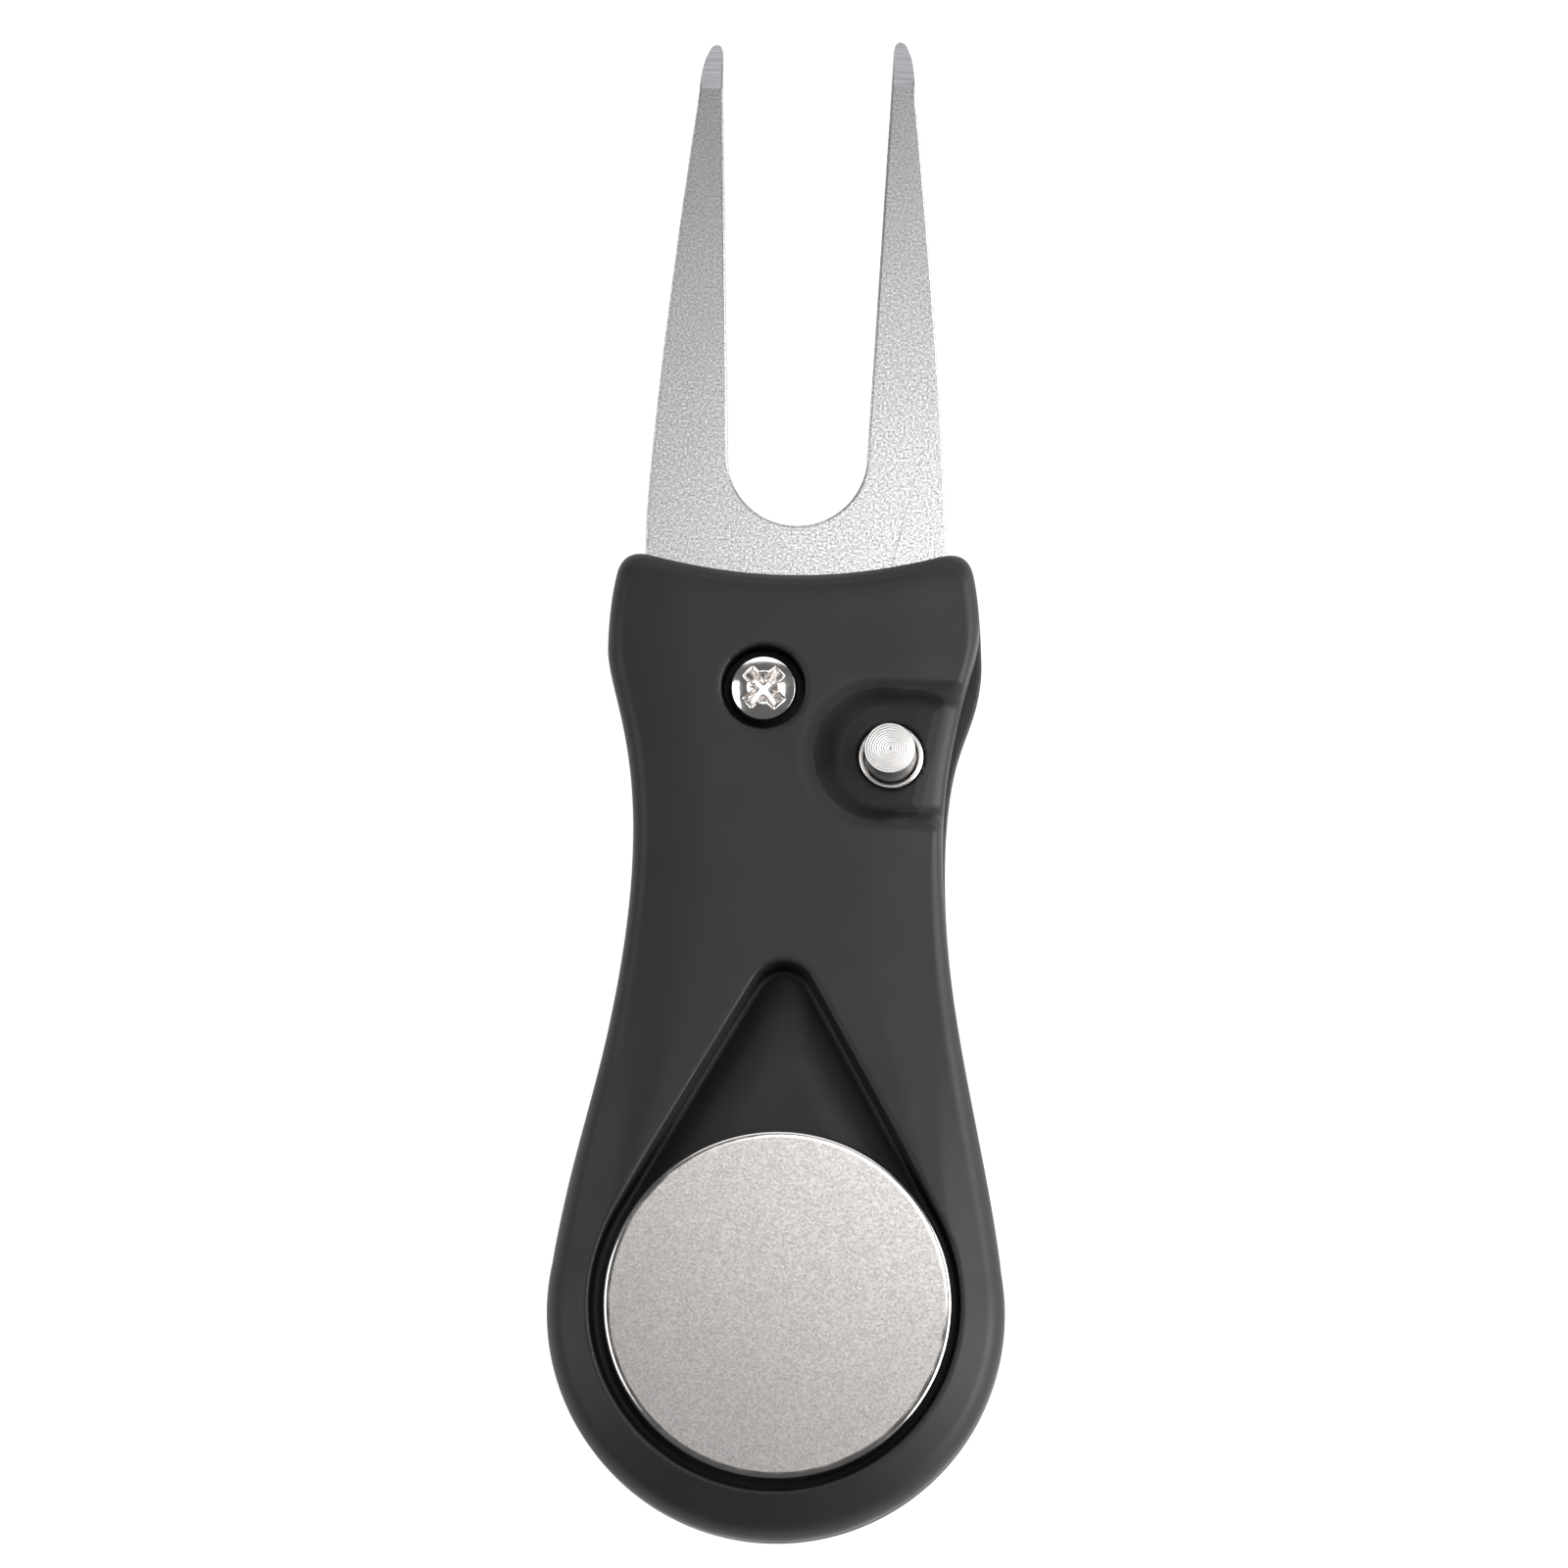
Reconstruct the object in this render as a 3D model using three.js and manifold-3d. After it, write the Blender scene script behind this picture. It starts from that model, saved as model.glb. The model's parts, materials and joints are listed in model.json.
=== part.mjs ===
// Folding divot repair tool. A handle of two soft-touch covers holds a spring-driven steel fork, a
// push button that locks the fork open or shut, and a ball marker kept in its recess by a magnet.
//
// Millimetres. The tool lies on its back with the fork swung open: +Y runs towards the fork's tips,
// +X is the right of the front face and +Z points out of the front face. The origin is on the back
// face, under the middle of the opened tool. Plan sizes below are measured from the middle of the
// handle's round end, and the finished group is moved to the origin at the bottom of this file.

import * as THREE from 'three';
import { mergeVertices } from 'three/addons/utils/BufferGeometryUtils.js';
import Module from 'manifold-3d';

// ---- Driving dimensions ------------------------------------------------------------------------

// Handle
const BULB_R = 16.4;                  // round end
const FORK_TIP_Y = 93.2;
const HANDLE_DEPTH = 11;              // back face to front face
const EDGE_ROUND = 1.1;               // rounded outer edges of both covers
const PARTING_Z = 5.5;                // joint between the covers
const PARTING_GAP = 0.1;
const MOUTH = { y: 92.0, r: 38.6 };   // hollow end that the fork comes out of
const CORNER = { x: 11.1, y: 53.7, r: 1.3 };

// Fork and the slot that it folds into
const FORK_Z = 4.6;
const FORK_THICK = 1.8;
const SLOT_SIDE_GAP = 0.3;            // above and below the fork
const SLOT_REACH = 49.9;              // from the pivot to the slot's blind end
const SPINE_X = 8.2;                  // inner face of the handle's closed side
const SWING = THREE.MathUtils.degToRad(184);
const CROTCH = { y: 62.3, r: 5.05 };  // round bottom of the gap between the prongs
const GRIND_Y = 89.6;                 // where the ground tips start
const TIP_THICK = 0.35;

// Pivot
const PIVOT = { x: -1.96, y: 44.95 };
const TANG_R = 6.6;
const SHANK_R = 1.45;
const BUSHING = { inner: 1.6, outer: 2.5, z: 4.0, top: 7.0 };
const WASHER = { inner: 2.7, outer: 5.2, thick: 0.2 };
const BACK_WASHER_R = 3.9;            // small enough to stay inside the opening spring
const NUT = { flats: 5.5, z: 0.6, thick: 2.4 };
const COUNTERBORE_R = 3.0;
const HEAD_SEAT_Z = 8.6;
const PIVOT_HEAD = { r: 2.4, height: 1.9 };
const PIVOT_CROSS = { length: 3.4, width: 0.9, depth: 1.1 };
const SPRING_PIN = { x: PIVOT.x + 3.0, y: PIVOT.y + 4.2, r: 0.6, z: 3.6 };
const OPENING_SPRING = { meanR: 5.1, wireR: 0.3, z: 1.6, top: 3.5, turns: 1.9 };
const SPRING_POCKET = { inner: 4.0, outer: 6.2, z: 1.5 };

// Lock button
const BUTTON = { x: 7.3, y: 40.05 };
const STUD_R = 1.82;
const STUD_TOP_Z = 13.6;
const LOCK_FLANGE = { r: 3.3, z: 4.5, top: 6.7 };
const BUTTON_TRAVEL = 2.2;
const BUTTON_SPRING = { meanR: 1.6, wireR: 0.25, z: 1.1, top: 5.7, turns: 5 };
const GUIDE = { inner: 1.95, outer: 2.35, z: 7.1 };
const THUMB_POCKET = { floorR: 4.0, rimR: 4.95, z: 9.35, reach: 8 };
const THUMB_SCOOP = { x: 49.35, y: 35.83, r: 38, z: 6.9 };   // hollow in the handle's right side

// Ball marker
const MARKER = { x: 0.2, y: 0.3, r: 12.5, z: 9.05, top: 10.65 };
const RECESS = { r: 13.4, z: 8.95, tipY: 22.5, tipR: 2.1 };
const MAGNET = { r: 5.0, z: 7.35, top: 8.9 };

// Case screws, driven from the back
const CASE_SCREWS = [[-8.5, -8.5], [8.5, -8.5], [12.0, 6.0]];
const CASE_HEAD = { r: 1.9, z: 0.4, height: 1.3 };
const CASE_SHANK = { r: 1.0, top: 8.0, point: 0.8, pointR: 0.35 };
const CASE_CROSS = { length: 2.2, width: 0.5, depth: 0.8 };

const RUN_OUT = 1;                    // how far a cutter runs past the face that it opens
const OVERLAP = 0.2;                  // how far joined solids run into each other
const FIT = 0.1;                      // clearance round fitted pieces
const PLAY = 0.05;                    // clearance between the fork and its washers
const ROUND_SIDES = 40;
const POINT_SPACING = 0.05;           // least distance between two points of an outline

// ---- Finishes ----------------------------------------------------------------------------------

const finish = (color, roughness, metalness) => () =>
  new THREE.MeshStandardMaterial({ color, roughness, metalness });
const softTouch = finish(0x353538, 0.72, 0);
const forkSteel = finish(0xc4c2c3, 0.34, 1);
const nickelPlate = finish(0xd6d2cc, 0.2, 1);
const markerNickel = finish(0xcac6c4, 0.38, 1);
const buttonSteel = finish(0xd2cec8, 0.3, 1);
const springSteel = finish(0x8d8f93, 0.35, 1);
const zincSteel = finish(0xa9abae, 0.4, 1);
const bearingBronze = finish(0xa9783d, 0.4, 1);
const magnetNickel = finish(0xb9bbbe, 0.25, 1);

// ---- Solids ------------------------------------------------------------------------------------

const wasm = await Module();
wasm.setup();

function solidFrom(geometry) {
  const bare = geometry.index ? geometry.toNonIndexed() : geometry.clone();
  bare.deleteAttribute('normal');
  bare.deleteAttribute('uv');
  const merged = mergeVertices(bare, 1e-4);
  return new wasm.Manifold(new wasm.Mesh({
    numProp: 3,
    vertProperties: new Float32Array(merged.attributes.position.array),
    triVerts: new Uint32Array(merged.index.array),
  }));
}

function geometryFrom(solid) {
  const mesh = solid.getMesh();
  const geometry = new THREE.BufferGeometry();
  geometry.setAttribute('position', new THREE.BufferAttribute(mesh.vertProperties, 3));
  geometry.setIndex(new THREE.BufferAttribute(mesh.triVerts, 1));
  geometry.computeVertexNormals();
  return geometry;
}

// A straight prism over a closed outline, from z to top.
function prism(outline, z, top) {
  const geometry = new THREE.ExtrudeGeometry(outline, { depth: top - z, bevelEnabled: false });
  return solidFrom(geometry.translate(0, 0, z));
}

// An upright cone or cylinder on the point at, from z to top.
function pillar(at, r, z, top, rTop = r, sides = ROUND_SIDES) {
  const geometry = new THREE.CylinderGeometry(rTop, r, top - z, sides);
  geometry.rotateX(Math.PI / 2);
  return solidFrom(geometry.translate(at.x, at.y, (z + top) / 2));
}

function ring(at, inner, outer, z, top) {
  return pillar(at, outer, z, top).subtract(pillar(at, inner, z - RUN_OUT, top + RUN_OUT));
}

// A coil spring of round wire about an upright axis.
function coil(at, spring) {
  const rise = spring.top - spring.z - 2 * spring.wireR;
  class Helix extends THREE.Curve {
    getPoint(t, target = new THREE.Vector3()) {
      const angle = t * spring.turns * 2 * Math.PI;
      const x = at.x + spring.meanR * Math.cos(angle);
      const y = at.y + spring.meanR * Math.sin(angle);
      return target.set(x, y, spring.z + spring.wireR + t * rise);
    }
  }
  const section = new THREE.Shape();
  section.absarc(0, 0, spring.wireR, 0, 2 * Math.PI);
  return solidFrom(new THREE.ExtrudeGeometry(section, {
    extrudePath: new Helix(),
    steps: Math.round(spring.turns * 20),
    curveSegments: 4,
    bevelEnabled: false,
  }));
}

// The cross recess of a driver, turned by angle, cut into a head from z to top.
function crossRecess(at, cross, z, top, angle) {
  const bars = [0, Math.PI / 2].map((turn) => {
    const bar = new THREE.BoxGeometry(cross.length, cross.width, top - z);
    return solidFrom(bar.rotateZ(angle + turn).translate(at.x, at.y, (z + top) / 2));
  });
  return bars[0].add(bars[1]);
}

// ---- Handle ------------------------------------------------------------------------------------

// A path's points without the ones that fall almost on the point before them.
function pointsOf(path) {
  const points = path.getPoints(6);
  return points.filter((p, i) => i === 0 || p.distanceTo(points[i - 1]) > POINT_SPACING);
}

// The right half of the outline, from the round end's lowest point to the middle of the mouth.
function rightOutline() {
  const bulbEnd = Math.asin(3.2 / BULB_R);
  const mouthEdge = Math.asin(10.73 / MOUTH.r);
  const half = new THREE.Path();
  half.absarc(0, 0, BULB_R, -Math.PI / 2, bulbEnd);
  half.bezierCurveTo(14.63, 13.1, 11.29, 22.2, 11.29, 33.2);
  half.bezierCurveTo(11.29, 41.4, 13.4, 44.8, 13.4, 47.6);
  half.bezierCurveTo(13.4, 50.4, 12.95, 52.2, 12.36, 54.04);
  half.absarc(CORNER.x, CORNER.y, CORNER.r, 0.28, Math.PI / 2 + mouthEdge);
  half.absarc(0, MOUTH.y, MOUTH.r, mouthEdge - Math.PI / 2, -Math.PI / 2, true);
  return pointsOf(half);
}

function handleOutline() {
  const right = rightOutline();
  const left = right.slice(1, -1).reverse().map((p) => new THREE.Vector2(-p.x, p.y));
  return new THREE.Shape([...right, ...left]);
}

function handleBlock() {
  return solidFrom(new THREE.ExtrudeGeometry(handleOutline(), {
    depth: HANDLE_DEPTH - 2 * EDGE_ROUND,
    bevelThickness: EDGE_ROUND,
    bevelSize: EDGE_ROUND,
    bevelOffset: -EDGE_ROUND,
    bevelSegments: 3,
  }).translate(0, 0, EDGE_ROUND));
}

// All of the handle's plan between two heights.
function slab(z, top) {
  const box = new THREE.BoxGeometry(4 * BULB_R, 6 * BULB_R, top - z);
  return solidFrom(box.translate(0, BULB_R, (z + top) / 2));
}

// The slot that the fork sweeps: open at the mouth and along the whole left side, closed by the
// spine on the right and by an arc round the bulb.
function forkSlot() {
  const start = Math.acos((SPINE_X - PIVOT.x) / SLOT_REACH);
  const outline = new THREE.Shape();
  outline.moveTo(11.35, 60);
  outline.lineTo(-40, 60);
  outline.lineTo(-40, 20);
  outline.absarc(PIVOT.x, PIVOT.y, SLOT_REACH, -Math.PI * 0.8, -start);
  outline.lineTo(SPINE_X, 38);
  outline.lineTo(10.1, 44.4);
  outline.lineTo(11.3, 54.8);
  outline.closePath();
  return prism(outline, FORK_Z - SLOT_SIDE_GAP, FORK_Z + FORK_THICK + SLOT_SIDE_GAP);
}

function insideFaces(cover) {
  const flangeTop = LOCK_FLANGE.top + SLOT_SIDE_GAP;
  const flangeBottom = LOCK_FLANGE.z - BUTTON_TRAVEL - FIT;
  const bushing = pillar(PIVOT, BUSHING.outer + FIT, BUSHING.z - FIT / 2, BUSHING.top + FIT / 2);
  return cover
    .subtract(forkSlot())
    .subtract(bushing)
    .subtract(pillar(BUTTON, LOCK_FLANGE.r + 2 * FIT, flangeBottom, flangeTop));
}

function hexPrism(at, flats, z, top) {
  return pillar(at, flats / Math.sqrt(3), z, top, flats / Math.sqrt(3), 6);
}

function backCover() {
  const top = PARTING_Z - PARTING_GAP / 2;
  const springPocket = ring(PIVOT, SPRING_POCKET.inner, SPRING_POCKET.outer, SPRING_POCKET.z, 5);
  const springSeatR = BUTTON_SPRING.meanR + BUTTON_SPRING.wireR + 2 * FIT;
  const nutSeatTop = NUT.z + NUT.thick + FIT;
  let cover = insideFaces(handleBlock().intersect(slab(-RUN_OUT, top)))
    .subtract(springPocket)
    .subtract(hexPrism(PIVOT, NUT.flats + 3 * FIT, -RUN_OUT, nutSeatTop))
    .subtract(pillar(PIVOT, SHANK_R + 2 * FIT, 0, 5))
    .subtract(pillar(BUTTON, springSeatR, BUTTON_SPRING.z - FIT, 4));
  for (const [x, y] of CASE_SCREWS) {
    const seatZ = CASE_HEAD.z + CASE_HEAD.height + FIT;
    cover = cover
      .subtract(pillar({ x, y }, CASE_HEAD.r + 2 * FIT, -RUN_OUT, seatZ))
      .subtract(pillar({ x, y }, CASE_SHANK.r + FIT, 0, 6));
  }
  return cover;
}

// The teardrop recess round the marker: its round end and its pointed end joined by tangents.
function teardrop() {
  const lean = Math.asin((RECESS.r - RECESS.tipR) / (RECESS.tipY - MARKER.y));
  const outline = new THREE.Shape();
  outline.absarc(0, MARKER.y, RECESS.r, Math.PI - lean, lean);
  outline.absarc(0, RECESS.tipY, RECESS.tipR, lean, Math.PI - lean);
  return prism(outline, RECESS.z, HANDLE_DEPTH + RUN_OUT);
}

// The sloping pocket round the button: a cone, run out over the handle's right side.
function thumbPocket() {
  const { floorR, rimR, z, reach } = THUMB_POCKET;
  const top = HANDLE_DEPTH + 0.01;
  const section = new THREE.Shape([
    new THREE.Vector2(-floorR, z),
    new THREE.Vector2(floorR, z),
    new THREE.Vector2(rimR, top),
    new THREE.Vector2(-rimR, top),
  ]);
  const channel = new THREE.ExtrudeGeometry(section, { depth: reach, bevelEnabled: false });
  channel.rotateX(Math.PI / 2).rotateZ(Math.PI / 2).translate(BUTTON.x, BUTTON.y, 0);
  return pillar(BUTTON, floorR, z, top, rimR).add(solidFrom(channel));
}

function frontCover() {
  const bottom = PARTING_Z + PARTING_GAP / 2;
  let cover = insideFaces(handleBlock().intersect(slab(bottom, HANDLE_DEPTH + RUN_OUT)))
    .subtract(teardrop())
    .subtract(pillar(MARKER, MAGNET.r + FIT, MAGNET.z - FIT, 10))
    .subtract(pillar(PIVOT, SHANK_R + 2 * FIT, 5, 10))
    .subtract(pillar(PIVOT, COUNTERBORE_R, HEAD_SEAT_Z, HANDLE_DEPTH + RUN_OUT))
    .subtract(thumbPocket())
    .subtract(pillar(BUTTON, GUIDE.outer + FIT, 6, 10))
    .subtract(pillar(THUMB_SCOOP, THUMB_SCOOP.r, THUMB_SCOOP.z, 12, THUMB_SCOOP.r, 180));
  for (const [x, y] of CASE_SCREWS) {
    cover = cover.subtract(pillar({ x, y }, CASE_SHANK.r + FIT, 5, CASE_SHANK.top + FIT));
  }
  return cover;
}

// ---- Fork --------------------------------------------------------------------------------------

// Where the lock button stands in the fork's own frame once the fork has swung by angle.
function buttonSeenFromFork(angle) {
  const arm = new THREE.Vector2(BUTTON.x - PIVOT.x, BUTTON.y - PIVOT.y);
  arm.rotateAround(new THREE.Vector2(), -angle);
  return { x: PIVOT.x + arm.x, y: PIVOT.y + arm.y };
}

function prongHalf() {
  const half = new THREE.Path();
  half.moveTo(10.95, 54.6);
  half.bezierCurveTo(10.7, 64.4, 9.1, 79, 7.85, GRIND_Y);
  half.quadraticCurveTo(7.75, 91.5, 7.35, 92.4);
  half.quadraticCurveTo(7.0, FORK_TIP_Y, 6.65, FORK_TIP_Y);
  half.quadraticCurveTo(6.25, FORK_TIP_Y, 6.22, 92.4);
  half.lineTo(6.15, GRIND_Y);
  half.lineTo(CROTCH.r, CROTCH.y);
  half.absarc(0, CROTCH.y, CROTCH.r, 0, -Math.PI / 2, true);
  return pointsOf(half);
}

function fork() {
  const right = prongHalf();
  const left = right.slice(0, -1).reverse().map((p) => new THREE.Vector2(-p.x, p.y));
  const outline = new THREE.Shape([
    ...right, ...left,
    new THREE.Vector2(-8.2, 47.5),
    new THREE.Vector2(-6, 43),
    new THREE.Vector2(3, 43),
    new THREE.Vector2(9.4, 44.6),
    new THREE.Vector2(10.2, 47),
  ]);
  const top = FORK_Z + FORK_THICK;
  const tipDrop = FORK_THICK - TIP_THICK;
  const tipRun = FORK_TIP_Y - GRIND_Y;
  const grind = new THREE.Shape([
    new THREE.Vector2(GRIND_Y, top),
    new THREE.Vector2(FORK_TIP_Y + tipRun, top - 2 * tipDrop),
    new THREE.Vector2(FORK_TIP_Y + tipRun, top + RUN_OUT),
    new THREE.Vector2(GRIND_Y, top + RUN_OUT),
  ]);
  const grinder = new THREE.ExtrudeGeometry(grind, { depth: 40, bevelEnabled: false });
  grinder.rotateX(Math.PI / 2).rotateZ(Math.PI / 2).translate(-20, 0, 0);
  const notchR = LOCK_FLANGE.r + 3 * FIT;
  const openNotch = buttonSeenFromFork(0);
  const shutNotch = buttonSeenFromFork(SWING);
  return prism(outline, FORK_Z, top)
    .add(pillar(PIVOT, TANG_R, FORK_Z, top))
    .subtract(pillar(openNotch, notchR, FORK_Z - RUN_OUT, top + RUN_OUT))
    .subtract(pillar(shutNotch, notchR, FORK_Z - RUN_OUT, top + RUN_OUT))
    .subtract(pillar(PIVOT, BUSHING.outer + 1.5 * FIT, FORK_Z - RUN_OUT, top + RUN_OUT))
    .subtract(pillar(SPRING_PIN, SPRING_PIN.r + FIT, FORK_Z - RUN_OUT, top + RUN_OUT))
    .subtract(solidFrom(grinder));
}

// ---- Pivot stack -------------------------------------------------------------------------------

function panHead(at, r, z, height, sign) {
  const dome = [[0, 0], [r, 0], [r, height * 0.45], [r * 0.86, height * 0.8], [r * 0.5, height], [0, height]];
  const profile = dome.map(([x, y]) => new THREE.Vector2(x, y));
  const lathe = new THREE.LatheGeometry(profile, ROUND_SIDES);
  lathe.rotateX(sign * Math.PI / 2);
  return solidFrom(lathe.translate(at.x, at.y, z));
}

function pivotScrew() {
  const top = HEAD_SEAT_Z + PIVOT_HEAD.height;
  return panHead(PIVOT, PIVOT_HEAD.r, HEAD_SEAT_Z, PIVOT_HEAD.height, 1)
    .add(pillar(PIVOT, SHANK_R, NUT.z + OVERLAP, HEAD_SEAT_Z + OVERLAP))
    .subtract(crossRecess(PIVOT, PIVOT_CROSS, top - PIVOT_CROSS.depth, top + RUN_OUT, Math.PI / 4));
}

function pivotNut() {
  return hexPrism(PIVOT, NUT.flats, NUT.z, NUT.z + NUT.thick)
    .subtract(pillar(PIVOT, SHANK_R + FIT, 0, NUT.z + NUT.thick + RUN_OUT));
}

// ---- Button ------------------------------------------------------------------------------------

function releaseButton() {
  const springBoreR = BUTTON_SPRING.meanR + BUTTON_SPRING.wireR + 2 * FIT;
  const crown = 0.25;
  return pillar(BUTTON, STUD_R, LOCK_FLANGE.top - OVERLAP, STUD_TOP_Z - crown)
    .add(pillar(BUTTON, STUD_R, STUD_TOP_Z - crown, STUD_TOP_Z, STUD_R - crown))
    .add(pillar(BUTTON, LOCK_FLANGE.r, LOCK_FLANGE.z, LOCK_FLANGE.top))
    .subtract(pillar(BUTTON, springBoreR, LOCK_FLANGE.z - RUN_OUT, BUTTON_SPRING.top + FIT));
}

// ---- Marker and fasteners ----------------------------------------------------------------------

function ballMarker() {
  const edge = 0.35;
  const disc = pillar(MARKER, MARKER.r, MARKER.z, MARKER.top - edge, MARKER.r, 64);
  return disc.add(pillar(MARKER, MARKER.r, MARKER.top - edge, MARKER.top, MARKER.r - edge, 64));
}

function caseScrew([x, y]) {
  const seat = CASE_HEAD.z + CASE_HEAD.height;
  const straight = CASE_SHANK.top - CASE_SHANK.point;
  return panHead({ x, y }, CASE_HEAD.r, seat, CASE_HEAD.height, -1)
    .add(pillar({ x, y }, CASE_SHANK.r, seat - OVERLAP, straight))
    .add(pillar({ x, y }, CASE_SHANK.r, straight, CASE_SHANK.top, CASE_SHANK.pointR))
    .subtract(crossRecess({ x, y }, CASE_CROSS, -RUN_OUT, CASE_HEAD.z + CASE_CROSS.depth, 0.5));
}

// ---- Assembly ----------------------------------------------------------------------------------

const tool = new THREE.Group();
const plan = new THREE.Group();
plan.position.y = -(FORK_TIP_Y - BULB_R) / 2;
tool.add(plan);

function place(name, solid, material) {
  const mesh = new THREE.Mesh(geometryFrom(solid), material());
  mesh.name = name;
  plan.add(mesh);
}

const forkTop = FORK_Z + FORK_THICK;
const backWasherTop = FORK_Z - PLAY;
const frontWasherZ = forkTop + PLAY;

place('back_cover', backCover(), softTouch);
place('front_cover', frontCover(), softTouch);
place('fork', fork(), forkSteel);
place('spring_pin', pillar(SPRING_PIN, SPRING_PIN.r, SPRING_PIN.z, forkTop), zincSteel);
place('pivot_screw', pivotScrew(), nickelPlate);
place('pivot_nut', pivotNut(), zincSteel);
place('pivot_bushing', ring(PIVOT, BUSHING.inner, BUSHING.outer, BUSHING.z, BUSHING.top), bearingBronze);
place('back_washer', ring(PIVOT, WASHER.inner, BACK_WASHER_R, backWasherTop - WASHER.thick, backWasherTop),
  zincSteel);
place('front_washer', ring(PIVOT, WASHER.inner, WASHER.outer, frontWasherZ, frontWasherZ + WASHER.thick),
  zincSteel);
place('opening_spring', coil(PIVOT, OPENING_SPRING), springSteel);
place('release_button', releaseButton(), buttonSteel);
place('button_guide', ring(BUTTON, GUIDE.inner, GUIDE.outer, GUIDE.z, THUMB_POCKET.z), nickelPlate);
place('button_spring', coil(BUTTON, BUTTON_SPRING), springSteel);
place('marker_magnet', pillar(MARKER, MAGNET.r, MAGNET.z, MAGNET.top), magnetNickel);
place('ball_marker', ballMarker(), markerNickel);
CASE_SCREWS.forEach((spot, i) => place(`case_screw_${i + 1}`, caseScrew(spot), zincSteel));

export default tool;
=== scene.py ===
import json
import math

import bmesh
import bpy
import numpy as np
from mathutils import Matrix, Vector


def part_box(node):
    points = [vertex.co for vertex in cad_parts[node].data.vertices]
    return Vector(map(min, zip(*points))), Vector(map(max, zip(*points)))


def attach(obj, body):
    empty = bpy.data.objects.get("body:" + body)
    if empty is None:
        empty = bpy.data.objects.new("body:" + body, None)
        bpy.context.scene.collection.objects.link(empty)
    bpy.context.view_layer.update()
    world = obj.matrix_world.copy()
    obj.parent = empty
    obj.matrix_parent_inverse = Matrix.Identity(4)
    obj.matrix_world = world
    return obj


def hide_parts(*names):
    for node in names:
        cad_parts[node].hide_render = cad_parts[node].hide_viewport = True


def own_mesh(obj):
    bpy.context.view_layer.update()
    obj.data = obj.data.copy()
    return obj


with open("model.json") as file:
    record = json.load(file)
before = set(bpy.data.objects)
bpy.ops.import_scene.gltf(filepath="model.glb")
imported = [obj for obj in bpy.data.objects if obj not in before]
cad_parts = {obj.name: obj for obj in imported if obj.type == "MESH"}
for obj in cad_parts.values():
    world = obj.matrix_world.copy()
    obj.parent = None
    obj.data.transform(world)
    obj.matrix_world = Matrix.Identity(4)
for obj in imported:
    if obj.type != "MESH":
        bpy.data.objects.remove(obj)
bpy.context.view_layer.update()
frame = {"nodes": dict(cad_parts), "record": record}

# The looks of a folding divot repair tool, lying on its back with its fork swung open. Shapes are
# worked out in millimetres and made in metres. +Y runs towards the fork's tips, +X is the right of
# the front face and +Z points out of it.

MM = 0.001


# ---- Places taken from the frame ----------------------------------------------------------------


def box_mm(node):
    """Lowest and highest corner of a CAD node in millimetres."""
    low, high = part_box(node)
    return np.array(low) / MM, np.array(high) / MM


def middle(node):
    low, high = box_mm(node)
    return (low + high) / 2


def joint_end(name, key):
    """The far limit of a joint, key being range_deg or range_m."""
    joints = frame["record"]["behaviour"]["joints"]
    return next(joint for joint in joints if joint["name"] == name)[key][1]


FRONT_LOW, FRONT_HIGH = box_mm("front_cover")
BACK_LOW, BACK_HIGH = box_mm("back_cover")
FORK_LOW, FORK_HIGH = box_mm("fork")
BULB_R = FRONT_HIGH[0]
BULB_Y = FRONT_LOW[1] + BULB_R
PIVOT = middle("pivot_screw")[:2]
BUTTON = middle("release_button")[:2]
MARKER_LOW, MARKER_HIGH = box_mm("ball_marker")
MARKER = middle("ball_marker")[:2]


def at(x, along):
    """A plan point given from the middle of the handle's round end."""
    return np.array([x, BULB_Y + along])


# ---- Handle sizes, millimetres ------------------------------------------------------------------

FRONT_TOP = FRONT_HIGH[2]
FRONT_BOTTOM = FRONT_LOW[2]
BACK_TOP = BACK_HIGH[2]

# The outline in plan, as (x, along) from the middle of the round end.
MOUTH = at(-0.5, 92.0)
MOUTH_R = 38.92
BULB_END = (16.08, 3.2)
BULB_END_R = 16.4
GRIP_CURVE = [BULB_END, (14.63, 13.1), (11.29, 22.2), (11.29, 33.2)]
SHOULDER_CURVE = [(11.29, 33.2), (11.29, 41.4), (13.5, 44.8), (13.5, 47.6)]
BROW_CURVE = [(13.5, 47.6), (13.5, 50.4), (13.2, 52.4), (12.75, 54.04)]
PAST_MOUTH = (11.2, 60.0)
RIGHT_SHOULDER = {"along": 43.9, "width": 3, "fuller": 0.35}
LEFT_SIDE = {"from": 8, "to": 20, "leaner": 0.2}
CORNER_SOFT = 2.0

# How the faces fall towards the edges.
EDGE_R = 1.2
BULB_CROWN = {"reach": 4.5, "blend": 1.5, "tilt": 0.52}
GRIP_CROWN = {"reach": 6.0, "blend": 6.0, "tilt": 0.2}
BULB_TO_GRIP = (5, 30)
MOUTH_CROWN = {"reach": 2.5, "tilt": 0.2}
BACK_ROUND = 3.0
BACK_BAND = 0.4
SCOOP = at(49.35, 35.83)
SCOOP_R = 38.0

# The slot for the fork; its wall is given as (along, x).
SLOT_GAP = 0.3
SLOT_REACH = 49.9
SLOT_WALL = [(38.0, 8.2), (44.4, 10.1), (54.8, 11.3)]

# The marker's recess, which sinks further towards its tip.
RECESS_R = 13.15
RECESS_TIP = at(0, 22.5)
RECESS_TIP_R = 2.1
RECESS_FLOOR = 8.95
RECESS_SINK = 0.25
RECESS_TIP_SINK = 0.9
RECESS_TIP_FROM = (4, 12)
RECESS_CROWN_REACH = 4.2
RECESS_RIDGE = 3.5
RECESS_DRAFT = 0.1
RECESS_FILLET = 0.35

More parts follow.
